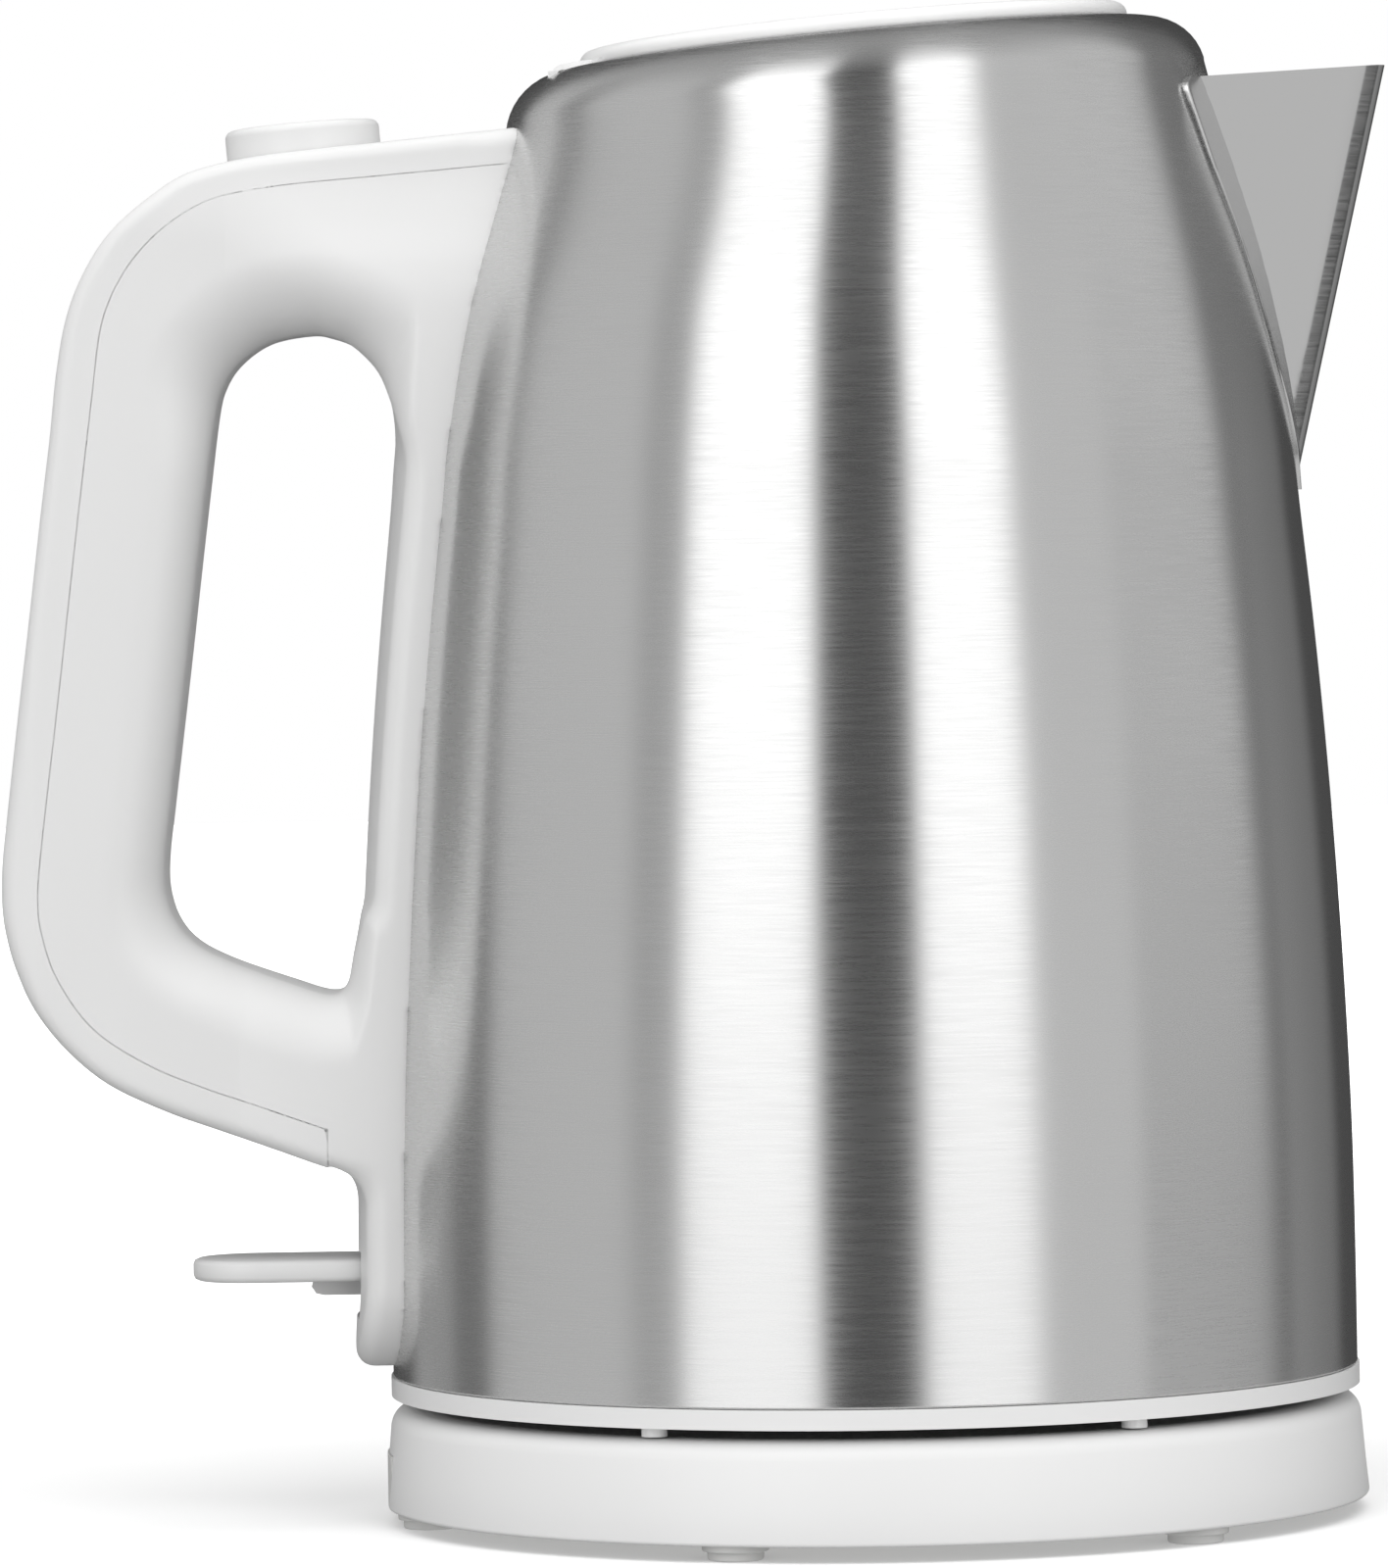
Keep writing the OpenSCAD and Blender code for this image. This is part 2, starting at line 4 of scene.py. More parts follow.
import bmesh
import bpy
import numpy as np
import openvdb
from mathutils import Euler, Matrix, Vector


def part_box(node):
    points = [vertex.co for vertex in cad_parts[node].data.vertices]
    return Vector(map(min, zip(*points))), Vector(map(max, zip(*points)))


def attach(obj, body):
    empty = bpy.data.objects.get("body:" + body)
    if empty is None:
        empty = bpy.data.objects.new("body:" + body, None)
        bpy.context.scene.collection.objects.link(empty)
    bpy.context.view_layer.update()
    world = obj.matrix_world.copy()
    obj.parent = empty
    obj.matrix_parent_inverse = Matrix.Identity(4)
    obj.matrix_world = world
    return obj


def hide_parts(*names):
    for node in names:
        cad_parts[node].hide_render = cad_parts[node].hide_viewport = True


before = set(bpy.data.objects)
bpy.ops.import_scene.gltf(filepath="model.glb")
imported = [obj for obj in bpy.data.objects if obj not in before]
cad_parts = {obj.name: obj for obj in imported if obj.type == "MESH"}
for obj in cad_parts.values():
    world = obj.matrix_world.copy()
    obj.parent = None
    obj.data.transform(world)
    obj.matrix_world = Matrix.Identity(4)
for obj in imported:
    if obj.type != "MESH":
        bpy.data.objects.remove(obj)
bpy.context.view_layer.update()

# ---------------------------------------------------------------- sizes, in millimetres about the jug's axis
MM = 0.001
SHELL_LOW, SHELL_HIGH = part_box("body_shell")
AXIS_X = (SHELL_LOW.x + SHELL_HIGH.x) / 2 / MM

JUG_R = 77.05
# Height and radius of the jug's wall, bottom to top
JUG_WALL = [(18, 77.05), (40, 77.0), (60, 76.75), (80, 76.05), (100, 75.0), (120, 73.65), (140, 71.95),
            (160, 69.9), (170, 69.0), (180, 67.6), (190, 65.8), (200, 63.75), (214, 60.35), (222, 58.3), (232, 55.85)]
SKIRT_Z, TOP_Z, SLANT = 23.4, 234.3, math.radians(4.4)
STEEL = 0.8
SHOULDER_R, SHOULDER_EDGE, SHOULDER_W = 9.6, 55.75, -7.2
MOUTH_R = 41.5
LEAN_FROM_Z, LEAN_TO_Z = 188.0, 226.0
LEAN_SHIFT, LEAN_SHRINK = 0.1, 1.35

LID_R, LID_H, LID_UNDER = 43.8, 3.0, 0.15
HINGE_U, HINGE_W = -46.4, -1.4

SPOUT_TIP_X, SPOUT_TIP_Z = 84.6, 229.8
SPOUT_FOOT_X, SPOUT_FOOT_Z, SPOUT_END_Z = 69.4, 163.0, 162.4
SPOUT_FOLD_R, SPOUT_HALF_ANGLE = 6.6, math.radians(28.5)
RIM_SLOPE = math.radians(4.2)
FLANGE_T, BEND_REACH = 0.7, 0.5
# Height, and how far round the jug from its middle the welded flange's edge lies
FLANGE_EDGE = [(162.4, 0.4), (167, 3), (172, 9), (180, 15), (190, 18.7), (203, 22.3), (213, 25.2), (223, 26.6), (230, 27)]

BUTTON_X, BUTTON_R, HANDLE_TOP_Z, HANDLE_SLANT = -88.0, 12.3, 218.9, math.radians(4.2)
LEVER_X, LEVER_Z, LEVER_HALF = -70.0, 40.6, 10.0

BASE_R, BASE_H, BASE_FLOOR_Z = 78.65, 18.4, 2.5
RING_Z = 20.2
FOOT_COUNT, FOOT_START = 6, 11.5


def metres(points):
    """Millimetre points about the jug's axis, as metres in the frame."""
    p = np.asarray(points, float).copy()
    p[:, 0] += AXIS_X
    return p * MM


# ---------------------------------------------------------------- mesh helpers
def add_mesh(name, points, faces, material, body, replaces=(), crease=35):
    """A new piece from millimetre points; edges sharper than crease degrees stay sharp."""
    mesh = bpy.data.meshes.new(name)
    mesh.from_pydata(metres(points).tolist(), [], [list(f) for f in faces])
    weld = bmesh.new()
    weld.from_mesh(mesh)
    bmesh.ops.remove_doubles(weld, verts=weld.verts, dist=0.002 * MM)
    bmesh.ops.dissolve_degenerate(weld, edges=weld.edges, dist=0.001 * MM)
    weld.to_mesh(mesh)
    weld.free()
    mesh.validate()
    mesh.shade_smooth()
    mesh.set_sharp_from_angle(angle=math.radians(crease))
    piece = bpy.data.objects.new(name, mesh)
    bpy.context.scene.collection.objects.link(piece)
    mesh.materials.append(material)
    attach(piece, body)
    if replaces:
        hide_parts(*replaces)
    return piece


def lathe(profile, segments=160, closed=True):
    """Points and faces of a profile of (radius, height) turned about the axis."""
    n = len(profile)
    points = [(r * math.cos(2 * math.pi * s / segments), r * math.sin(2 * math.pi * s / segments), z)
              for s in range(segments) for r, z in profile]
    faces = []
    for s in range(segments):
        t = (s + 1) % segments
        for k in range(n if closed else n - 1):
            j = (k + 1) % n
            faces.append((s * n + k, t * n + k, t * n + j, s * n + j))
    return np.array(points), faces


def tilted(points, origin, slope):
    """Points drawn in a frame that stands at origin and rises by slope towards +X."""
    p = np.asarray(points, float)
    x = p[:, 0] * math.cos(slope) - p[:, 2] * math.sin(slope)
    z = p[:, 0] * math.sin(slope) + p[:, 2] * math.cos(slope)
    return np.stack([x + origin[0], p[:, 1] + origin[1], z + origin[2]], axis=1)


def in_lid_frame(points):
    return tilted(points, (0, 0, TOP_Z), SLANT)


def in_button_frame(points):
    return tilted(points, (BUTTON_X, 0, HANDLE_TOP_Z), HANDLE_SLANT)


def smooth_curve(points, steps=8):
    """Catmull-Rom curve through the points."""
    p = [points[0]] + list(points) + [points[-1]]
    out = []
    for i in range(1, len(p) - 2):
        a, b, c, d = (np.array(q, float) for q in p[i - 1:i + 3])
        for k in range(steps):
            t = k / steps
            out.append(0.5 * (2 * b + (c - a) * t + (2 * a - 5 * b + 4 * c - d) * t ** 2
                              + (3 * b - a - 3 * c + d) * t ** 3))
    out.append(np.array(points[-1], float))
    return np.array(out)


def cut(piece, *tools):
    """Cuts the tools out of a piece and removes them."""
    bpy.context.view_layer.update()
    for tool in tools:
        change = piece.modifiers.new("cut", "BOOLEAN")
        change.object = tool
        change.operation = "DIFFERENCE"
        change.solver = "EXACT"
        with bpy.context.temp_override(object=piece, active_object=piece):
            bpy.ops.object.modifier_apply(modifier=change.name)
        bpy.data.objects.remove(tool)


def cutter(points, faces):
    """A throw-away solid in millimetres, for cut()."""
    mesh = bpy.data.meshes.new("cutter")
    mesh.from_pydata(metres(points).tolist(), [], [list(f) for f in faces])
    tool = bpy.data.objects.new("cutter", mesh)
    bpy.context.scene.collection.objects.link(tool)
    return tool


BOX_FACES = [(0, 1, 3, 2), (4, 6, 7, 5), (0, 4, 5, 1), (2, 3, 7, 6), (0, 2, 6, 4), (1, 5, 7, 3)]


def box_points(low, high):
    return np.array([(x, y, z) for x in (low[0], high[0]) for y in (low[1], high[1]) for z in (low[2], high[2])],
                    float)


# ---------------------------------------------------------------- distance fields, for the soft plastic mouldings
def polygon_distance(x, z, outline):
    """Signed distance to a closed outline, negative inside."""
    best = np.full(x.shape, 1e9)
    inside = np.zeros(x.shape, bool)
    for a, b in zip(outline, np.roll(outline, -1, axis=0)):
        ex, ez = b - a
        wx, wz = x - a[0], z - a[1]
        t = np.clip((wx * ex + wz * ez) / max(ex * ex + ez * ez, 1e-9), 0, 1)
        best = np.minimum(best, (wx - ex * t) ** 2 + (wz - ez * t) ** 2)
        crosses = (a[1] > z) != (b[1] > z)
        if abs(ez) > 1e-9:
            inside ^= crosses & (x < a[0] + ex * (z - a[1]) / ez)
    return np.where(inside, -1, 1) * np.sqrt(best)


def round_and(a, b, r):
    """Common part of two fields, with the edge between them rounded to radius r."""
    return np.minimum(np.maximum(a + r, b + r), 0) + np.hypot(np.maximum(a + r, 0), np.maximum(b + r, 0)) - r


def soft_or(a, b, k):
    """Both fields together, with the hollow between them filled softly over the distance k."""
    h = np.clip(0.5 + 0.5 * (b - a) / k, 0, 1)
    return b * (1 - h) + a * h - k * h * (1 - h)


def field_mesh(field, low, step):
    """Points and faces of the surface where a field on a grid is zero."""
    grid = openvdb.FloatGrid(3 * step)
    grid.copyFromArray(np.clip(field, -3 * step, 3 * step).astype(np.float32))
    points, quads = grid.convertToQuads(isovalue=0.0)
    return np.asarray(points, float) * step + np.array(low), np.asarray(quads)[:, ::-1]


def smoothstep(low, high, value):
    t = np.clip((value - low) / (high - low), 0, 1)
    return t * t * (3 - 2 * t)


WALL_CURVE = smooth_curve(JUG_WALL)


def jug_radius(z):
    return np.interp(z, WALL_CURVE[:, 0], WALL_CURVE[:, 1])


def lean(height):
    """How far the jug's rings have tilted towards the slanted top at a height on the axis."""
    return SLANT * smoothstep(LEAN_FROM_Z, LEAN_TO_Z, height)


# ---------------------------------------------------------------- materials
class Shader:
    """Small helper for building a node material."""

    def __init__(self, name):
        self.material = bpy.data.materials.new(name)
        self.material.use_nodes = True
        self.tree = self.material.node_tree
        self.surface = self.tree.nodes["Principled BSDF"]

    def node(self, kind, **settings):
        made = self.tree.nodes.new(kind)
        for key, value in settings.items():
            setattr(made, key, value)
        return made

    def link(self, source, target):
        self.tree.links.new(source, target)

    def set(self, **values):
        for key, value in values.items():
            self.surface.inputs[key.replace("_", " ")].default_value = value

    def math(self, operation, a, b=0.0):
        made = self.node("ShaderNodeMath", operation=operation)
        for socket, value in zip(made.inputs, (a, b)):
            if isinstance(value, (int, float)):
                socket.default_value = value
            else:
                self.link(value, socket)
        return made.outputs[0]

    def noise(self, vector, scale, detail=3.0, roughness=0.55):
        made = self.node("ShaderNodeTexNoise")
        made.inputs["Scale"].default_value = scale
        made.inputs["Detail"].default_value = detail
        made.inputs["Roughness"].default_value = roughness
        self.link(vector, made.inputs["Vector"])
        return made.outputs["Fac"]

    def spread(self, value, low, high, from_low=0.3, from_high=0.7):
        made = self.node("ShaderNodeMapRange")
        for key, number in (("From Min", from_low), ("From Max", from_high), ("To Min", low), ("To Max", high)):
            made.inputs[key].default_value = number
        self.link(value, made.inputs["Value"])
        return made.outputs["Result"]

    def tint(self, factor, dark, light):
        made = self.node("ShaderNodeMix", data_type="RGBA")
        made.inputs[6].default_value = (*dark, 1)
        made.inputs[7].default_value = (*light, 1)
        self.link(factor, made.inputs[0])
        return made.outputs[2]

    def bump(self, height, strength, distance, normal=None):
        made = self.node("ShaderNodeBump")
        made.inputs["Strength"].default_value = strength
        made.inputs["Distance"].default_value = distance
        self.link(height, made.inputs["Height"])
        if normal is not None:
            self.link(normal, made.inputs["Normal"])
        return made.outputs["Normal"]


def object_coordinates(shader):
    return shader.node("ShaderNodeTexCoord").outputs["Object"]


def brushed(name, colour, roughness, anisotropy, grain_length, grain_height, bump, contrast=0.05):
    """Steel with a fine grain running round the jug's axis; lengths in metres."""
    s = Shader(name)
    place = s.node("ShaderNodeVectorMath", operation="SUBTRACT")
    place.inputs[1].default_value = (AXIS_X * MM, 0, 0)
    s.link(object_coordinates(s), place.inputs[0])
    split = s.node("ShaderNodeSeparateXYZ")
    s.link(place.outputs[0], split.inputs[0])
    x, y, z = split.outputs
    angle = s.math("ARCTAN2", y, x)
    around = s.math("MULTIPLY", angle, JUG_R * MM / grain_length)
    join = s.node("ShaderNodeCombineXYZ")
    s.link(around, join.inputs[0])
    s.link(s.math("MULTIPLY", z, 1 / grain_height), join.inputs[1])
    s.link(s.math("MULTIPLY", s.math("ABSOLUTE", y), 1 / grain_length), join.inputs[2])
    grain = s.noise(join.outputs[0], 1.0, detail=4.0, roughness=0.65)
    broad = s.noise(place.outputs[0], 22.0, detail=2.0)
    dark = tuple(c * (1 - contrast) for c in colour)
    light = tuple(min(1, c * (1 + contrast)) for c in colour)
    s.link(s.tint(grain, dark, light), s.surface.inputs["Base Color"])
    rough = s.math("ADD", s.spread(grain, roughness - 0.04, roughness + 0.05), s.spread(broad, -0.015, 0.02))
    s.link(rough, s.surface.inputs["Roughness"])
    s.link(s.bump(grain, bump, 0.00003), s.surface.inputs["Normal"])
    s.set(Metallic=1.0, Anisotropic=anisotropy, Anisotropic_Rotation=0.25)
    tangent = s.node("ShaderNodeTangent", direction_type="RADIAL", axis="Z")
    s.link(tangent.outputs[0], s.surface.inputs["Tangent"])
    return s.material


def moulded(name, colour, roughness, texture=900.0, bump=0.10, spread=0.015, mottle=0.02):
    """Injection-moulded plastic: fine spark-eroded grain, slow colour drift, edges polished by handling."""
    s = Shader(name)
    place = object_coordinates(s)
    fine = s.noise(place, texture, detail=2.0)
    slow = s.noise(place, 18.0, detail=2.0)
    edges = s.spread(s.node("ShaderNodeNewGeometry").outputs["Pointiness"], 0.0, 1.0, 0.5, 0.56)
    dark = tuple(c * (1 - mottle) for c in colour)
    light = tuple(min(1, c * (1 + mottle / 2)) for c in colour)
    s.link(s.tint(s.spread(slow, 0, 1), dark, light), s.surface.inputs["Base Color"])
    rough = s.math("ADD", s.spread(fine, roughness - spread, roughness + spread), s.spread(slow, -0.02, 0.02))
    s.link(s.math("SUBTRACT", rough, s.math("MULTIPLY", edges, 0.06)), s.surface.inputs["Roughness"])
    s.link(s.bump(fine, bump, 0.00006), s.surface.inputs["Normal"])
    s.set(Metallic=0.0, IOR=1.5)
    return s.material


def plain_metal(name, colour, roughness, scale=260.0):
    """Turned or drawn metal with fine scratches and slight stains."""
    s = Shader(name)
    place = object_coordinates(s)
    marks = s.noise(place, scale, detail=5.0, roughness=0.7)
    stains = s.noise(place, 35.0, detail=3.0)
    dark = tuple(c * 0.88 for c in colour)
    s.link(s.tint(s.spread(stains, 0, 1), dark, colour), s.surface.inputs["Base Color"])
    s.link(s.spread(marks, roughness - 0.08, roughness + 0.1), s.surface.inputs["Roughness"])
    s.link(s.bump(marks, 0.12, 0.00005), s.surface.inputs["Normal"])
    s.set(Metallic=1.0)
    return s.material


STEEL_SKIN = brushed("brushed_steel", (0.66, 0.66, 0.658), 0.27, 0.95, 0.010, 0.0003, 0.018, 0.03)
SPOUT_SKIN = brushed("brushed_spout", (0.66, 0.66, 0.658), 0.20, 0.6, 0.009, 0.0003, 0.015, 0.03)
EDGE_STEEL = plain_metal("cut_steel", (0.72, 0.72, 0.715), 0.25, 500.0)
INNER_STEEL = plain_metal("inner_steel", (0.62, 0.62, 0.61), 0.38)
ALUMINIUM = plain_metal("aluminium", (0.78, 0.78, 0.79), 0.42)
BRASS = plain_metal("brass", (0.80, 0.60, 0.30), 0.32)
WHITE = moulded("white_plastic", (0.80, 0.80, 0.798), 0.42)
HANDLE_WHITE = moulded("handle_plastic", (0.735, 0.735, 0.733), 0.40, 1100.0, 0.08)
GLOSS_WHITE = moulded("lid_plastic", (0.84, 0.84, 0.838), 0.32, 1300.0, 0.03)
INNER_WHITE = moulded("inner_plastic", (0.68, 0.68, 0.665), 0.5, 800.0, 0.12)
DARK = moulded("dark_plastic", (0.055, 0.055, 0.058), 0.48, 800.0, 0.12)
RUBBER = moulded("rubber", (0.60, 0.60, 0.59), 0.7, 600.0, 0.2)


# ---------------------------------------------------------------- jug
def wall_ring(height, inset, segments=256):
    """Ring of the jug's wall, leaning more and more towards the slanted top."""
    share = smoothstep(LEAN_FROM_Z, LEAN_TO_Z, height)
    radius = jug_radius(height) - LEAN_SHRINK * share - inset
    a = np.linspace(0, 2 * np.pi, segments, endpoint=False)
    circle = np.stack([radius * np.cos(a), radius * np.sin(a), np.zeros(segments)], axis=1)
    return tilted(circle, (LEAN_SHIFT * share, 0, height), lean(height))


def top_ring(radius, w, segments=256):
    """Ring of the slanted top; the lower ones stay over the upright wall."""
    a = np.linspace(0, 2 * np.pi, segments, endpoint=False)
    centre = 0.06 * min(w, 0)
    return in_lid_frame(np.stack([centre + radius * np.cos(a), radius * np.sin(a), np.full(segments, w)], axis=1))


def bridge(rings, closed=False):
    """Points and faces of a skin over a list of rings with the same number of points."""
    n = len(rings[0])
    faces = []
    count = len(rings)
    for i in range(count if closed else count - 1):
        a, b = i * n, ((i + 1) % count) * n
        faces += [(a + k, a + (k + 1) % n, b + (k + 1) % n, b + k) for k in range(n)]
    return np.concatenate(rings), faces


def shoulder(inset, start=15, steps=10):
    centre = SHOULDER_EDGE - SHOULDER_R * math.cos(math.radians(start))
    r = SHOULDER_R - inset
    return [top_ring(centre + r * math.cos(a), -SHOULDER_R + r * math.sin(a))
            for a in np.radians(np.linspace(start, 90, steps))]


def make_jug_shell():
    wall_top = TOP_Z + SHOULDER_W * math.cos(SLANT) - 0.6
    heights = np.concatenate([[SKIRT_Z + 0.3], np.linspace(SKIRT_Z + 1, wall_top, 96)])
    outer = [wall_ring(SKIRT_Z, 0.25)] + [wall_ring(h, 0) for h in heights] + shoulder(0)
    lip = [top_ring(MOUTH_R + 1.6, 0), top_ring(MOUTH_R + 0.7, -0.05), top_ring(MOUTH_R + 0.15, -0.3),
           top_ring(MOUTH_R, -0.7), top_ring(MOUTH_R + 0.05, -0.85), top_ring(MOUTH_R + 1.6, -STEEL)]
    inner = shoulder(STEEL)[::-1] + [wall_ring(h, STEEL) for h in heights[::-4]] + [wall_ring(SKIRT_Z, STEEL)]
    points, faces = bridge(outer + lip + inner, closed=True)
    shell = add_mesh("jug_shell", points, faces, STEEL_SKIN, "jug", ["body_shell"])
    hole = [(-6, 190), (6, 190), (12, 219), (-12, 219)]
    pour = np.array([(x, y, z) for x in (40, 72) for y, z in hole], float)
    sides = [(k, (k + 1) % 4, 4 + (k + 1) % 4, 4 + k) for k in range(4)]
    cut(shell,
        cutter(in_lid_frame(box_points((HINGE_U - 2.6, -17.2, -6), (-30, 17.2, 4))), BOX_FACES),
        cutter(pour, sides + [(3, 2, 1, 0), (4, 5, 6, 7)]),
        cutter(box_points((-62, -6, 211.5), (-46, 6, 218)), BOX_FACES),
        cutter(box_points((-80, -LEVER_HALF - 0.6, 33), (-70, LEVER_HALF + 0.6, 43.6)), BOX_FACES))
    shell.data.set_sharp_from_angle(angle=math.radians(35))
    return shell


make_jug_shell()


# ---------------------------------------------------------------- spout
def spout_front(z):
    return SPOUT_FOOT_X + (SPOUT_TIP_X - SPOUT_FOOT_X) * (z - SPOUT_FOOT_Z) / (SPOUT_TIP_Z - SPOUT_FOOT_Z)


def spout_line(z):
    """Dense outline of one half at a height, from the middle of the fold back along the straight wing."""
    turn = np.linspace(0, math.pi / 2 - SPOUT_HALF_ANGLE, 60)
    centre = spout_front(z) - SPOUT_FOLD_R
    fold = np.stack([centre + SPOUT_FOLD_R * np.cos(turn), SPOUT_FOLD_R * np.sin(turn)], axis=1)
    back = np.linspace(0.05, 60, 400)[:, None] * (-math.cos(SPOUT_HALF_ANGLE), math.sin(SPOUT_HALF_ANGLE))
    return np.vstack([fold, fold[-1] + back])


def spout_half(z):
    """One half of the spout at a height: edge and face of the welded flange, wing, fold; as (x, y)."""
    share = float(smoothstep(LEAN_FROM_Z, LEAN_TO_Z, z))
    wall = float(jug_radius(z - 60 * math.tan(float(lean(z))))) - LEAN_SHRINK * share + FLANGE_T
    axis = LEAN_SHIFT * share
    line = spout_line(z)
    length = np.concatenate([[0], np.cumsum(np.linalg.norm(np.diff(line, axis=0), axis=1))])
    meet = length[np.argmax(np.hypot(line[:, 0] - axis, line[:, 1]) <= wall)]

    def on_wall(y, sink=0.0):
        turn = y / wall
        return np.array([axis + (wall - sink) * math.cos(turn), (wall - sink) * math.sin(turn)])

    def on_line(s):
        return np.array([np.interp(s, length, line[:, 0]), np.interp(s, length, line[:, 1])])

    if meet < 0.4:
        width = 0.3 + 2.0 * (z - SPOUT_END_Z) / 4
        free = [on_wall(width * 0.6 * k / 24) for k in range(25)]
        bend = [on_wall(width * (0.6 + 0.3 * k / 8)) for k in range(1, 9)]
        edge = width
    else:
        reach = min(BEND_REACH, 0.5 * meet)
        fold_end = min(SPOUT_FOLD_R * (math.pi / 2 - SPOUT_HALF_ANGLE), 0.7 * (meet - reach))
        free = [on_line(fold_end * k / 14) for k in range(15)]
        free += [on_line(fold_end + (meet - reach - fold_end) * k / 10) for k in range(1, 11)]
        corner = on_line(meet)
        corner_y = wall * math.atan2(corner[1], corner[0] - axis)
        from_top = min(max(SPOUT_TIP_Z - 2.7 - z, 0.0) / 2, 1)
        strip = max(float(np.interp(z, *np.transpose(FLANGE_EDGE))) - corner_y, 0.5)
        edge = corner_y + strip * (0.55 + 0.45 * math.sqrt(1 - (1 - from_top) ** 2))
        landing = on_wall(edge)
        bend = [free[-1] + (landing - free[-1]) * t for t in np.linspace(0, 1, 9)[1:]]
    flange = [on_wall(edge + 0.1, 0.03), on_wall(edge + 0.24, 0.14), on_wall(edge + 0.3, 0.35), on_wall(edge + 0.3, 1.2)]
    return np.array(free + bend + flange)[::-1]


SPOUT_HEIGHTS = np.arange(SPOUT_END_Z - 4, SPOUT_TIP_Z + 0.5, 0.4)
SPOUT_HALVES = np.array([spout_half(max(z, SPOUT_END_Z)) for z in SPOUT_HEIGHTS])


def spout_row(level, share):
    """Full outline at a level, from one flange edge to the other; higher rows slope more, up to the rim's slope."""
    slope = math.tan(RIM_SLOPE) * share
    count = SPOUT_HALVES.shape[1]
    heights = np.full(count, level)
    for _ in range(5):
        half = np.array([[np.interp(h, SPOUT_HEIGHTS, SPOUT_HALVES[:, i, axis]) for axis in (0, 1)]
                         for i, h in enumerate(heights)])
        heights = level + slope * (half[:, 0] - spout_front(level))
    half = np.column_stack([half, heights])
    return np.vstack([half, (half * (1, -1, 1))[-2::-1]])


def thinner(row, thickness):
    """The row moved inwards by the thickness of the sheet."""
    along = np.gradient(row[:, :2], axis=0)
    along /= np.maximum(np.linalg.norm(along, axis=1), 1e-9)[:, None]
    inward = np.stack([along[:, 1], -along[:, 0]], axis=1)
    return row + thickness * np.column_stack([inward, np.zeros(len(row))])


def make_spout():
    levels = np.concatenate([np.linspace(0, 0.1, 8)[:-1], np.linspace(0.1, 0.93, 28)[:-1], np.linspace(0.93, 1, 10)])
    outer = [spout_row(SPOUT_END_Z + (SPOUT_TIP_Z - SPOUT_END_Z) * share, share) for share in levels]
    inner = [thinner(row, STEEL) for row in outer]
    rows, n = len(outer), len(outer[0])
    points = np.concatenate(outer + inner)
    faces = []

    def at(side, row, k):
        return side * rows * n + row * n + k

    for row in range(rows - 1):
        for k in range(n - 1):
            faces.append((at(0, row, k), at(0, row + 1, k), at(0, row + 1, k + 1), at(0, row, k + 1)))
            faces.append((at(1, row, k), at(1, row, k + 1), at(1, row + 1, k + 1), at(1, row + 1, k)))
        for k in (0, n - 1):
            quad = (at(0, row, k), at(1, row, k), at(1, row + 1, k), at(0, row + 1, k))
            faces.append(quad if k == 0 else quad[::-1])
    for row in (0, rows - 1):
        for k in range(n - 1):
            quad = (at(0, row, k), at(0, row, k + 1), at(1, row, k + 1), at(1, row, k))
            faces.append(quad if row == 0 else quad[::-1])
    spout = add_mesh("spout_sheet", points, faces, SPOUT_SKIN, "jug", ["spout"], crease=20)


make_spout()


# ---------------------------------------------------------------- handle
HANDLE_X = -137.4
HANDLE_OUTER = [(-50, 221.9), (-58, 221.2), (-72, 219.9), (-85, 218.7), (-96, 217.5), (-104.4, 215.7), (-109.6, 213.2),
                (-117.2, 207.2), (-121.9, 201), (-125.3, 193.3), (-127.2, 184.1), (-128.5, 173.3), (-130.2, 160.9),
                (-132.2, 145.4), (-134.3, 129.9), (-136.3, 114.4), (-137.3, 106), (HANDLE_X, 99), (-136.7, 94.2),
                (-135.3, 89.3), (-132.6, 83.3), (-127.8, 77), (-121.1, 71.3), (-111.9, 66.8), (-102.6, 63.4),
                (-93.3, 60.1), (-88.7, 58.4)]
COVER_LINE = [(-50, 216.2), (-60, 215.4), (-75, 214.2), (-90, 213), (-100, 211.5), (-105, 209.6), (-109.2, 206.9),
              (-112.8, 203.7), (-115.8, 200), (-118.4, 195.3), (-120.1, 189.9), (-121.5, 179.9), (-124.5, 157.4),
              (-127.7, 132.3), (-131, 107.3), (-131.5, 99), (-130.7, 94), (-129.1, 89), (-125.7, 83.2),
              (-121.3, 78.6), (-113.8, 74), (-105.7, 70.6), (-96.5, 67.4), (-86.2, 63.8)]
# From the strap over the top of the hole, down the grip and back to the strap
FINGER_HOLE = [(-69.5, 168), (-72.4, 173.4), (-74.4, 178.6), (-76, 182.6), (-78, 185.3), (-81, 187.9), (-84.1, 189.1),
               (-87.2, 189.6), (-93.5, 188.5), (-98.1, 185.6), (-101, 181.8), (-102.6, 176.2), (-105, 159),
               (-107.8, 137), (-110.7, 115), (-111.7, 107), (-111.7, 101.6), (-110.2, 96.8), (-107.1, 93.1),
               (-101.5, 90.1), (-92.1, 86.6), (-85.9, 84.7), (-82.7, 86), (-81, 91), (-79, 96)]
COVER_END_X = -86.2
STRAP_Z, STRAP_CORNER, STRAP_T = 25.2, 13.0, 5.3
OUTER_EDGE_R = 2.2
SEAM, SEAM_DEPTH = 0.2, 1.0
VOXEL = 0.5


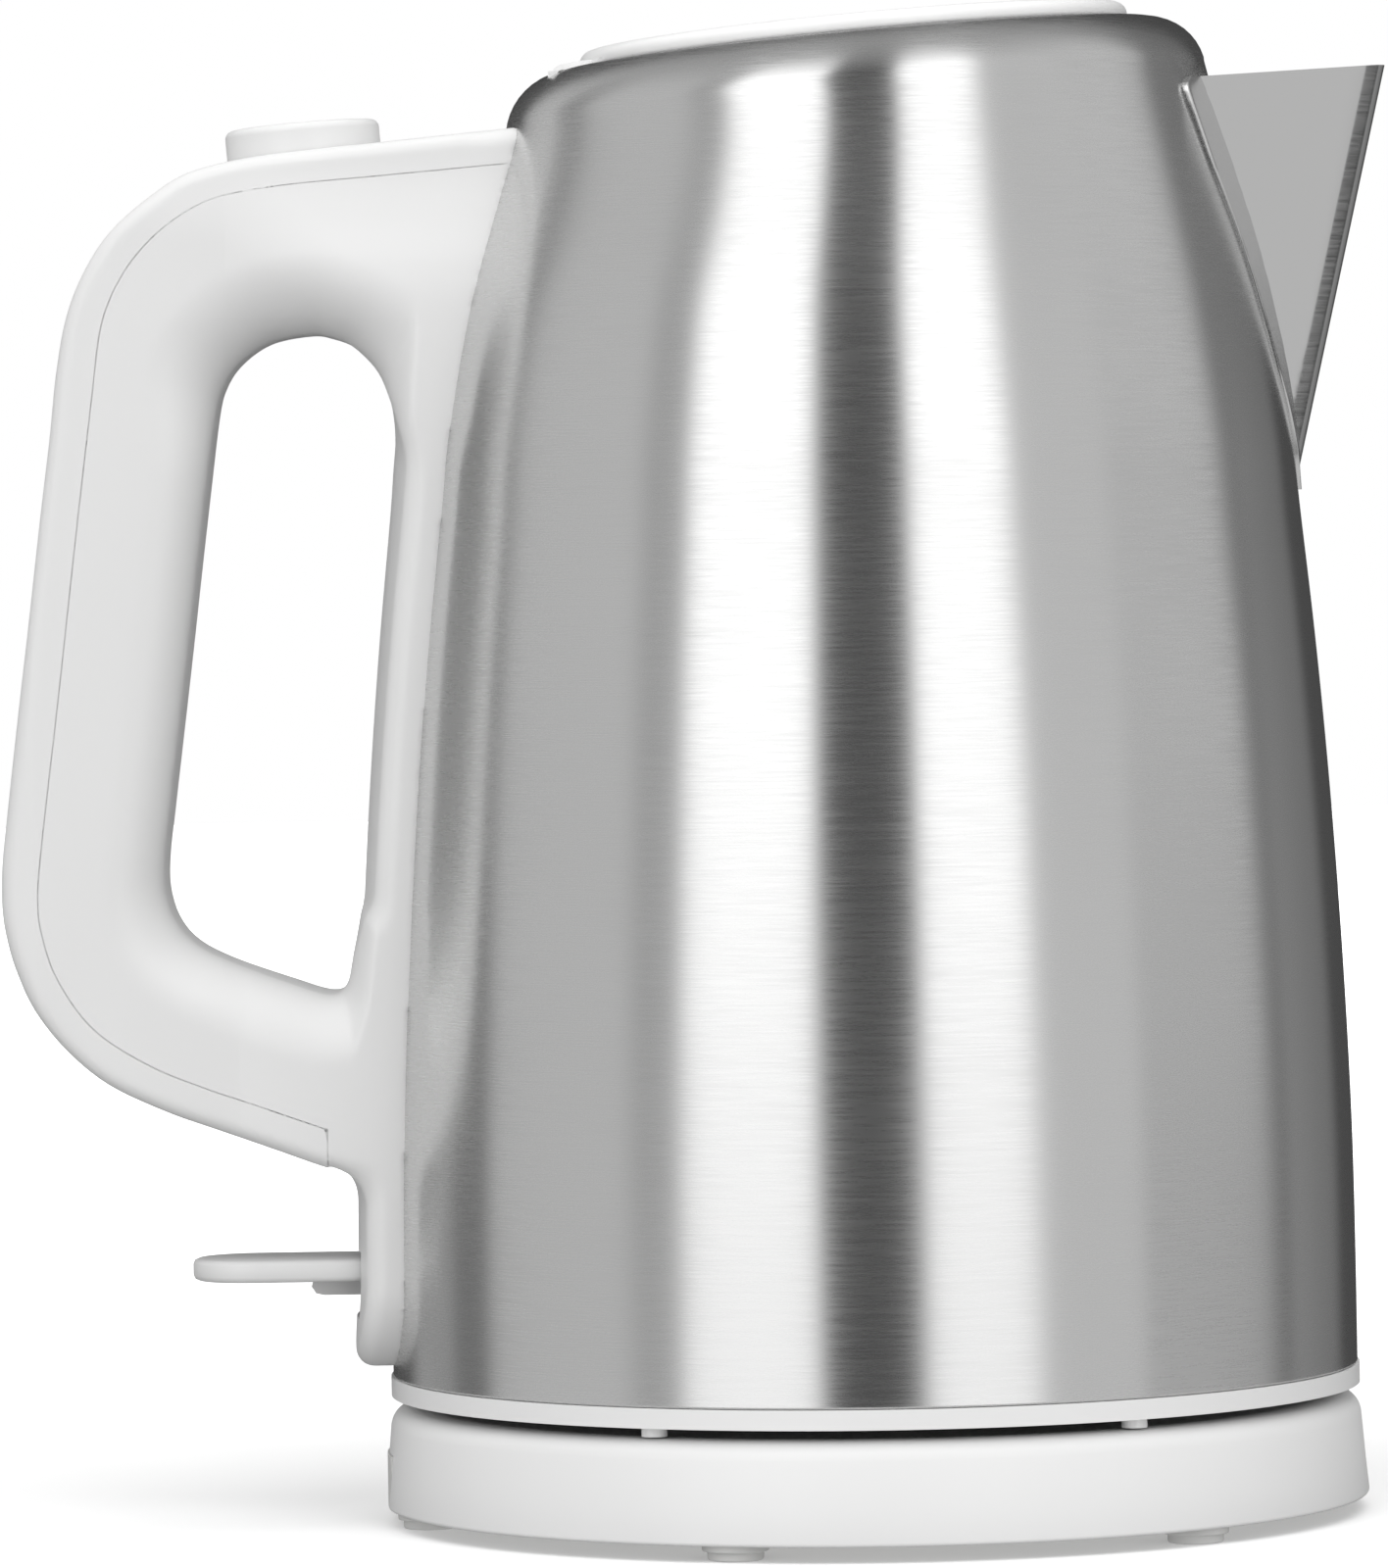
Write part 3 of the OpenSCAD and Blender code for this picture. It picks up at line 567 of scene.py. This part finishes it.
def jug_distance(x, y, z):
    """Distance outwards from the leaning wall of the jug."""
    height = z - x * np.tan(lean(z))
    for _ in range(2):
        height = z - x * np.tan(lean(height))
    share = smoothstep(LEAN_FROM_Z, LEAN_TO_Z, height)
    radius = np.hypot((x - LEAN_SHIFT * share) / np.cos(lean(height)), y)
    steepness = (jug_radius(height - 1) - jug_radius(height + 1)) / 2
    return (radius - jug_radius(height) + LEAN_SHRINK * share) / np.sqrt(1 + steepness ** 2)


def handle_half_width(x):
    return np.interp(x, [HANDLE_X, -132, -118, -100, -90, -80], [14.4, 15.8, 17, 18, 20.2, 22.5])


STRAP_CURVE = smooth_curve([(28, 19.2), (60, 20.0), (100, 20.8), (150, 21.3), (180, 22.8), (192, 22.6), (200, 21.0),
                            (208, 18.7), (215, 17.2), (224, 16.6)])


def strap_half_width(z):
    return np.interp(z, STRAP_CURVE[:, 0], STRAP_CURVE[:, 1])


def hole_edge_radius(x, z):
    """Radius of the finger hole's edge: full above and below the hole, tight against the strap."""
    r = 3 + 5.5 * smoothstep(84, 97, -x)
    r = r + (13 - r) * smoothstep(166, 190, z)
    return r + (11 - r) * (1 - smoothstep(88, 110, z))


def handle_field():
    """Distance field of the whole handle on a grid, and the grid's first corner."""
    xs = np.arange(HANDLE_X - 3, -22, VOXEL)
    ys = np.arange(0, 26, VOXEL)
    zs = np.arange(STRAP_Z - 3, 226, VOXEL)
    x, z = np.meshgrid(xs, zs, indexing="ij")
    outline = np.vstack([smooth_curve(HANDLE_OUTER), [(-80, 55.5), (-30, 55.5), (-30, 221.9)]])
    outer = polygon_distance(x, z, outline)
    # The grip stands a little back where its cover ends
    outer = outer + 0.35 * smoothstep(COVER_END_X - 0.2, COVER_END_X + 0.4, x) * (z < 120)
    # Beside the hole only the strap is left, so the outline runs on behind it
    hole = polygon_distance(x, z, np.vstack([smooth_curve(FINGER_HOLE), [(-30, 96), (-30, 171.5)]]))
    share = np.clip(hole, 0, None) / np.maximum(np.clip(hole, 0, None) + np.clip(-outer, 0, None), 0.01)
    edge_r = hole_edge_radius(x, z)
    edge_r = edge_r + (OUTER_EDGE_R - edge_r) * smoothstep(0.4, 0.7, share)
    arms = np.maximum(outer, -hole)[:, None, :]
    x3, y3, z3 = xs[:, None, None], ys[None, :, None], zs[None, None, :]
    jug = jug_distance(x3, y3, z3)
    thickness = STRAP_T + 0.6 * (1 - smoothstep(28, 40, z3))
    strap = np.maximum(jug - thickness, z3 - 213)
    blend = 3 + 2 * (1 - smoothstep(100, 120, z3))
    profile = soft_or(arms, strap, blend)
    half = soft_or(handle_half_width(x3), strap_half_width(z3), 2.0)
    a, b = y3 - half + STRAP_CORNER, STRAP_Z + STRAP_CORNER - z3
    side = np.where((a > 0) & (b > 0), np.hypot(a, b), np.maximum(a, b)) - STRAP_CORNER
    on_strap = smoothstep(-3.5, 0.5, thickness - jug) * (x3 > -84)
    radius = edge_r[:, None, :] + (2.8 - edge_r[:, None, :]) * on_strap
    whole = round_and(side, profile, radius)
    # The strap ends inside the thickness of the steel, so no gap shows along it
    whole = np.maximum(whole, -0.35 - jug)
    full = np.concatenate([whole[:, :0:-1], whole], axis=1)
    return full, (xs[0], -ys[-1], zs[0])


def prism(outline, half):
    """Points and faces of a side outline given width across the kettle."""
    n = len(outline)
    points = np.array([(x, y, z) for y in (-half, half) for x, z in outline], float)
    faces = [(k, (k + 1) % n, n + (k + 1) % n, n + k) for k in range(n)]
    faces += [tuple(range(n))[::-1], tuple(range(n, 2 * n))]
    return points, faces


def offset_line(line, distance):
    """The line moved sideways by distance."""
    line = np.asarray(line, float)
    along = np.gradient(line, axis=0)
    along /= np.linalg.norm(along, axis=1)[:, None]
    return line + distance * np.stack([-along[:, 1], along[:, 0]], axis=1)


def carve(piece, points, faces, operation="DIFFERENCE"):
    """Fast boolean with a closed tool."""
    tool = cutter(points, faces)
    fix = bmesh.new()
    fix.from_mesh(tool.data)
    bmesh.ops.recalc_face_normals(fix, faces=fix.faces)
    fix.to_mesh(tool.data)
    fix.free()
    bpy.context.view_layer.update()
    change = piece.modifiers.new("carve", "BOOLEAN")
    change.object, change.operation, change.solver = tool, operation, "MANIFOLD"
    with bpy.context.temp_override(object=piece, active_object=piece):
        bpy.ops.object.modifier_apply(modifier=change.name)
    bpy.data.objects.remove(tool)


def cylinder(radius, low, high, place, segments=96):
    points, faces = lathe([(radius, low), (radius, high)], segments, closed=False)
    ring = np.arange(segments) * 2
    return place(points), faces + [tuple(ring[::-1]), tuple(ring + 1)]


def cover_outline(shift):
    line = offset_line(smooth_curve(COVER_LINE), shift)
    end = COVER_END_X + shift
    return np.vstack([line[:-1], [(end, line[-1][1]), (end, 20), (-170, 20), (-170, 260), (-50, 260)]])


def make_handle():
    field, low = handle_field()
    points, faces = field_mesh(field, low, VOXEL)
    body = add_mesh("handle_body", points, faces, HANDLE_WHITE, "jug", ["handle_grip"])
    shell = add_mesh("handle_shell", points, faces, HANDLE_WHITE, "jug", ["handle_cover"])
    carve(body, *prism(cover_outline(-SEAM / 2), 40))
    # A tongue on the grip closes the seam behind the surface
    core_points, core_faces = field_mesh(field + SEAM_DEPTH, low, VOXEL)
    core = add_mesh("core", core_points, core_faces, HANDLE_WHITE, "jug")
    carve(core, *prism(cover_outline(SEAM * 2), 40))
    bpy.context.view_layer.update()
    join = body.modifiers.new("tongue", "BOOLEAN")
    join.object, join.operation, join.solver = core, "UNION", "MANIFOLD"
    with bpy.context.temp_override(object=body, active_object=body):
        bpy.ops.object.modifier_apply(modifier=join.name)
    bpy.data.objects.remove(core)
    carve(shell, *prism(cover_outline(SEAM / 2), 40), operation="INTERSECT")
    carve(body, *cylinder(14.4, -27, 20, in_button_frame))
    carve(body, in_button_frame(box_points((-13, -8.6, -16), (24, 8.6, -10.4))), BOX_FACES)
    carve(body, in_button_frame(box_points((17, -6, -16), (48, 6, -4.6))), BOX_FACES)
    carve(body, box_points((-90, -LEVER_HALF - 0.6, 33), (-66, LEVER_HALF + 0.6, 43.6)), BOX_FACES)
    carve(shell, *cylinder(BUTTON_R + 0.3, -30, 30, in_button_frame))
    for piece in (body, shell):
        piece.data.shade_smooth()
        piece.data.set_sharp_from_angle(angle=math.radians(40))


make_handle()


# ---------------------------------------------------------------- lid, button, switch lever
def arc(centre, radius, start, end, steps=6):
    """Points of an arc in a section; angles in degrees."""
    return [(centre[0] + radius * math.cos(a), centre[1] + radius * math.sin(a))
            for a in np.radians(np.linspace(start, end, steps))]


def make_lid():
    profile = [(0, 1.4), (LID_R - 8.3, 1.4), (LID_R - 8, 1.2), (LID_R - 7.8, LID_UNDER)]
    profile += arc((LID_R - 0.6, LID_UNDER + 0.6), 0.6, -90, 0, 5)
    profile += arc((LID_R - 1.9, LID_H - 2.0), 1.9, 5, 86, 9)
    profile += [(30, LID_H - 0.04), (15, LID_H - 0.01), (0, LID_H)]
    points, faces = lathe(profile, 192, closed=False)
    lid = add_mesh("lid_disc", in_lid_frame(points), faces, GLOSS_WHITE, "lid", ["lid_top"], crease=30)
    for side in (-1, 1):
        outline = [(-36, -3.4), (-36, 1.0), (HINGE_U + 2, 1.0), (HINGE_U + 0.4, 0.7)]
        outline += arc((HINGE_U, HINGE_W), 2.1, 95, 268, 14) + [(HINGE_U + 2, -3.4)]
        points, faces = prism(outline, 3)
        points[:, 1] += side * 10.5
        name = "lid_arm_near" if side < 0 else "lid_arm_far"
        arm = add_mesh(name, in_lid_frame(points), faces, GLOSS_WHITE, "lid", crease=30)


def make_button():
    r = BUTTON_R
    profile = [(r - 2, 1.4), (r - 2, -7.4), (r, -7.4), (r, -6.6)]
    profile += [(r + 1.4, -6.6), (r + 1.4, -4.6), (r, -4.6)]
    profile += arc((r - 1.3, 2.9), 1.3, 0, 84, 8)
    profile += [(r * 0.55, 4.19), (0, 4.2)]
    profile = [(0, 1.4)] + profile
    points, faces = lathe(profile, 128, closed=False)
    button = add_mesh("button_cap", in_button_frame(points), faces, HANDLE_WHITE, "lid_button", ["lid_button"])


def make_lever():
    """Paddle with a rounded end, soft edges and a rib below, on its pivot and tongue."""
    edge, tip = 0.9, -108.8
    plan = [(-80, -LEVER_HALF)]
    plan += arc((tip + LEVER_HALF, 0), LEVER_HALF, 270, 90, 25)
    plan += [(-80, LEVER_HALF)]
    rings = []
    for inset, z in [(edge, 38.9), (edge * 0.3, 38.9 + edge * 0.3), (0, 38.9 + edge), (0, 42.4 - edge),
                     (edge * 0.3, 42.4 - edge * 0.3), (edge, 42.4)]:
        scale = (LEVER_HALF - inset) / LEVER_HALF
        centre = tip + LEVER_HALF
        rings.append(np.array([(centre + (x - centre) * (scale if x < centre else 1), y * scale, z) for x, y in plan]))
    points, faces = bridge(rings)
    n = len(plan)
    faces += [tuple(range(n))[::-1], tuple((len(rings) - 1) * n + k for k in range(n))]
    paddle = add_mesh("lever_paddle", points, faces, HANDLE_WHITE, "switch_lever", ["switch_lever"], crease=50)
    below = [(-80.5, 38.9), (-86.5, 38.95), (-89.5, 38.9), (-89.9, 37.6), (-89.2, 36.5), (-87.9, 36.2),
             (-78, 36.2), (-78, 38.9)]
    rib_points, rib_faces = prism(below, 1.4)
    rib = add_mesh("lever_rib", rib_points, rib_faces, HANDLE_WHITE, "switch_lever", crease=30)
    neck = [(-81, 42.3), (LEVER_X - 3.6, 42.3)] + arc((LEVER_X, LEVER_Z), 4, 155, -155, 18) + [(-81, 38.9)]
    neck_points, neck_faces = prism(neck, 4.8)
    root = add_mesh("lever_neck", neck_points, neck_faces, HANDLE_WHITE, "switch_lever", crease=30)
    tongue = add_mesh("lever_tongue", box_points((LEVER_X + 1, -4, 38.4), (-57.4, 4, 41)), BOX_FACES,
                      HANDLE_WHITE, "switch_lever")


make_lid()
make_button()
make_lever()


# ---------------------------------------------------------------- power base
def make_base_shell():
    top, deck, wall = BASE_H, BASE_H - 0.8, 2.2
    outer = [(BASE_R - wall, BASE_FLOOR_Z), (BASE_R - 0.7, BASE_FLOOR_Z)]
    outer += arc((BASE_R - 0.6, BASE_FLOOR_Z + 0.6), 0.6, -80, 0, 5)
    outer += [(BASE_R - 0.5, 8), (BASE_R - 1.15, 15.6)]
    outer += arc((BASE_R - 4.35, top - 3.2), 3.2, 10, 90, 11)
    outer += arc((71, top - 0.4), 0.4, 90, 150, 4)
    outer += arc((69.9, deck + 0.3), 0.3, -30, -90, 3)
    outer += [(40, deck)] + arc((18.9, deck - 0.4), 0.4, 90, 180, 5)
    inner = [(18.5, deck - wall), (67, deck - wall), (BASE_R - 4.5, top - wall - 0.4), (BASE_R - 3.4, 12),
             (BASE_R - wall, BASE_FLOOR_Z + 1)]
    points, faces = lathe(outer + inner, 256)
    shell = add_mesh("base_shell", points, faces, WHITE, "power_base", ["base_housing"])
    carve(shell, box_points((-BASE_R - 2, -12, -1), (-BASE_R + 8, 12, 11.2)), BOX_FACES)
    shell.data.set_sharp_from_angle(angle=math.radians(35))


def make_feet():
    profile = [(0, 0), (3.95, 0)] + arc((3.95, 0.4), 0.4, -60, 0, 4) + [(4.35, 1.2), (4.5, 1.4)]
    profile += [(4.9, 1.4)] + arc((4.9, 1.7), 0.3, -60, 0, 4) + [(5.2, BASE_FLOOR_Z), (0, BASE_FLOOR_Z)]
    for i in range(FOOT_COUNT):
        angle = math.radians(FOOT_START + i * 360 / FOOT_COUNT)
        points, faces = lathe(profile, 48, closed=False)
        points[:, 0] += 72.5 * math.cos(angle)
        points[:, 1] += 72.5 * math.sin(angle)
        foot = add_mesh(f"foot_{i + 1}", points, faces, RUBBER, "power_base", ["base_feet"])


make_base_shell()
make_feet()


# ---------------------------------------------------------------- finishes of the pieces kept from the CAD
def dress_kept_nodes():
    finish = {
        "white_plastic": (WHITE, ["cord_clamp", "jug_base", "lid_collar"]),
        "inner_plastic": (INNER_WHITE, ["base_floor", "cord_gland", "lid_liner", "latch_slider", "spout_filter"]),
        "dark_plastic": (DARK, ["base_connector", "coupler_socket", "coupler_cap", "controller"]),
        "plain_steel": (INNER_STEEL, ["steam_tube", "heating_plate", "base_screws", "jug_base_screws",
                                      "handle_screws", "button_spring", "hinge_spring", "hinge_pin", "lever_pin",
                                      "heating_element"]),
        "aluminium": (ALUMINIUM, ["heat_diffuser"]),
        "brass": (BRASS, ["connector_contacts", "bimetal_discs"]),
        "rubber": (RUBBER, ["lid_seal"]),
    }
    for slot, (material, nodes) in finish.items():
        for name in nodes:
            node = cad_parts[name]
            node.data.materials.clear()
            node.data.materials.append(material)


dress_kept_nodes()


# ---------------------------------------------------------------- floor, light and camera
def make_floor():
    bpy.ops.mesh.primitive_circle_add(vertices=96, radius=4, fill_type="NGON", location=(0, 0, 0))
    floor = bpy.context.object
    floor.name = "floor"
    s = Shader("studio_floor")
    grain = s.noise(object_coordinates(s), 60.0)
    s.link(s.tint(grain, (0.93, 0.93, 0.93), (0.96, 0.96, 0.96)), s.surface.inputs["Base Color"])
    s.set(Roughness=0.75, Emission_Color=(1, 1, 1, 1))
    away = s.node("ShaderNodeVectorMath", operation="LENGTH")
    s.link(object_coordinates(s), away.inputs[0])
    s.link(s.spread(away.outputs["Value"], 0.16, 0.8, 0.15, 0.9), s.surface.inputs["Emission Strength"])
    floor.data.materials.append(s.material)
    # The light from below comes from the studio itself, so the floor only carries the kettle's shadow
    floor.visible_diffuse = False
    floor.visible_glossy = False
    floor.visible_shadow = False


def make_studio_light():
    """Soft light all round: two broad bright sides in front, dimmer behind, white behind the kettle for the camera."""
    world = bpy.data.worlds.new("studio")
    bpy.context.scene.world = world
    world.use_nodes = True
    tree = world.node_tree
    tree.nodes.clear()

    def node(kind, **settings):
        made = tree.nodes.new(kind)
        for key, value in settings.items():
            setattr(made, key, value)
        return made

    def math_node(operation, a, b=0.0):
        made = node("ShaderNodeMath", operation=operation)
        for socket, value in zip(made.inputs, (a, b)):
            if isinstance(value, (int, float)):
                socket.default_value = value
            else:
                tree.links.new(value, socket)
        return made.outputs[0]

    direction = node("ShaderNodeTexCoord").outputs["Generated"]
    split = node("ShaderNodeSeparateXYZ")
    tree.links.new(direction, split.inputs[0])
    x, y, z = split.outputs
    turn = math_node("ARCTAN2", x, math_node("MULTIPLY", y, -1.0))
    turn = math_node("ADD", math_node("MULTIPLY", turn, 0.5 / math.pi), 0.5)

    def panorama(levels):
        """Brightness by angle from the camera's side, in degrees, positive to the right; stored at half size."""
        made = node("ShaderNodeValToRGB")
        made.color_ramp.interpolation = "EASE"
        tree.links.new(turn, made.inputs[0])
        stops = made.color_ramp.elements
        for _ in range(len(levels) - len(stops)):
            stops.new(0.5)
        for stop, (angle, level) in zip(stops, levels):
            stop.position = angle / 360 + 0.5
            stop.color = (level / 2, level / 2, level / 2, 1)
        return math_node("MULTIPLY", made.outputs[0], 2.0)

    def between(value, low, high, start=0.0, end=1.0):
        made = node("ShaderNodeMapRange")
        for key, number in (("From Min", low), ("From Max", high), ("To Min", start), ("To Max", end)):
            made.inputs[key].default_value = number
        tree.links.new(value, made.inputs["Value"])
        return made.outputs[0]

    def blend(share, first, second):
        made = node("ShaderNodeMix", data_type="FLOAT")
        tree.links.new(share, made.inputs[0])
        for socket, value in ((made.inputs[2], first), (made.inputs[3], second)):
            if isinstance(value, float):
                socket.default_value = value
            else:
                tree.links.new(value, socket)
        return made.outputs[0]

    above = panorama([(-180, 0.06), (-150, 0.10), (-138, 0.60), (-124, 0.66), (-117, 0.34), (-108, 0.34), (-101, 0.68),
                      (-64, 0.68), (-57, 0.46), (-50, 0.52), (-44, 2.0), (-16, 2.0), (-11, 0.09), (9, 0.09),
                      (14, 2.0), (35, 2.0), (42, 0.74), (104, 0.74), (113, 0.24), (140, 0.20), (150, 0.08),
                      (180, 0.06)])
    below = panorama([(-180, 0.06), (-150, 0.08), (-138, 0.20), (-126, 0.08), (-110, 0.08), (-101, 0.60),
                      (-64, 0.62), (-57, 0.44), (-50, 0.5), (-44, 0.72), (-16, 0.72), (-11, 0.09), (6, 0.09),
                      (12, 0.7), (33, 0.7), (40, 0.66), (106, 0.68), (116, 0.42), (140, 0.28), (150, 0.08),
                      (180, 0.06)])
    sides = blend(between(z, -0.35, 0.2), below, above)
    # A dark flag beside the kettle, low down, that only the spout's fold turns towards
    flag_across = between(math_node("ABSOLUTE", math_node("SUBTRACT", turn, 0.5 + 92 / 360)), 24 / 360, 27 / 360, 1.0, 0.0)
    flag_up = between(math_node("ABSOLUTE", math_node("ADD", z, 0.17)), 0.07, 0.11, 1.0, 0.0)
    flag = math_node("MULTIPLY", flag_across, flag_up)
    sides = blend(flag, sides, 0.05)
    whole = blend(between(z, 0.6, 0.95), sides, 0.42)
    seen = node("ShaderNodeLightPath").outputs["Is Camera Ray"]
    background = node("ShaderNodeBackground")
    tree.links.new(blend(seen, whole, 1.0), background.inputs["Color"])
    output = node("ShaderNodeOutputWorld")
    tree.links.new(background.outputs[0], output.inputs[0])

    # Broad soft lamps for the plastics only; the steel mirrors the dimmer studio round them
    soft_lamp("overhead", (0, -0.4, 1.6), 2.6, 24)
    soft_lamp("rear_fill", (0, 2.4, 0.9), 2.0, 13)


def soft_lamp(name, place, size, energy):
    """Round area lamp aimed at the kettle, unseen by the camera and in reflections."""
    lamp = bpy.data.lights.new(name, "AREA")
    lamp.shape = "DISK"
    lamp.size = size
    lamp.energy = energy
    holder = bpy.data.objects.new(name, lamp)
    holder.location = place
    aim = Vector((0, 0, 0.12)) - Vector(place)
    holder.rotation_euler = aim.to_track_quat("-Z", "Y").to_euler()
    holder.visible_glossy = False
    holder.visible_camera = False
    bpy.context.scene.collection.objects.link(holder)


def make_camera():
    data = bpy.data.cameras.new("camera")
    camera = bpy.data.objects.new("camera", data)
    bpy.context.scene.collection.objects.link(camera)
    bpy.context.scene.camera = camera
    data.sensor_width = 36
    data.lens = 213.6
    data.clip_start = 0.1
    spot, aim, roll = Vector((-0.00058, -1.4868, 0.1534)), Vector((-0.00058, 0, 0.11694)), math.radians(0.95)
    camera.location = spot
    turn = (aim - spot).to_track_quat("-Z", "Y").to_matrix() @ Euler((0, 0, -roll)).to_matrix()
    camera.rotation_euler = turn.to_euler()


make_floor()
make_studio_light()
make_camera()
bpy.context.scene.view_settings.view_transform = "Standard"
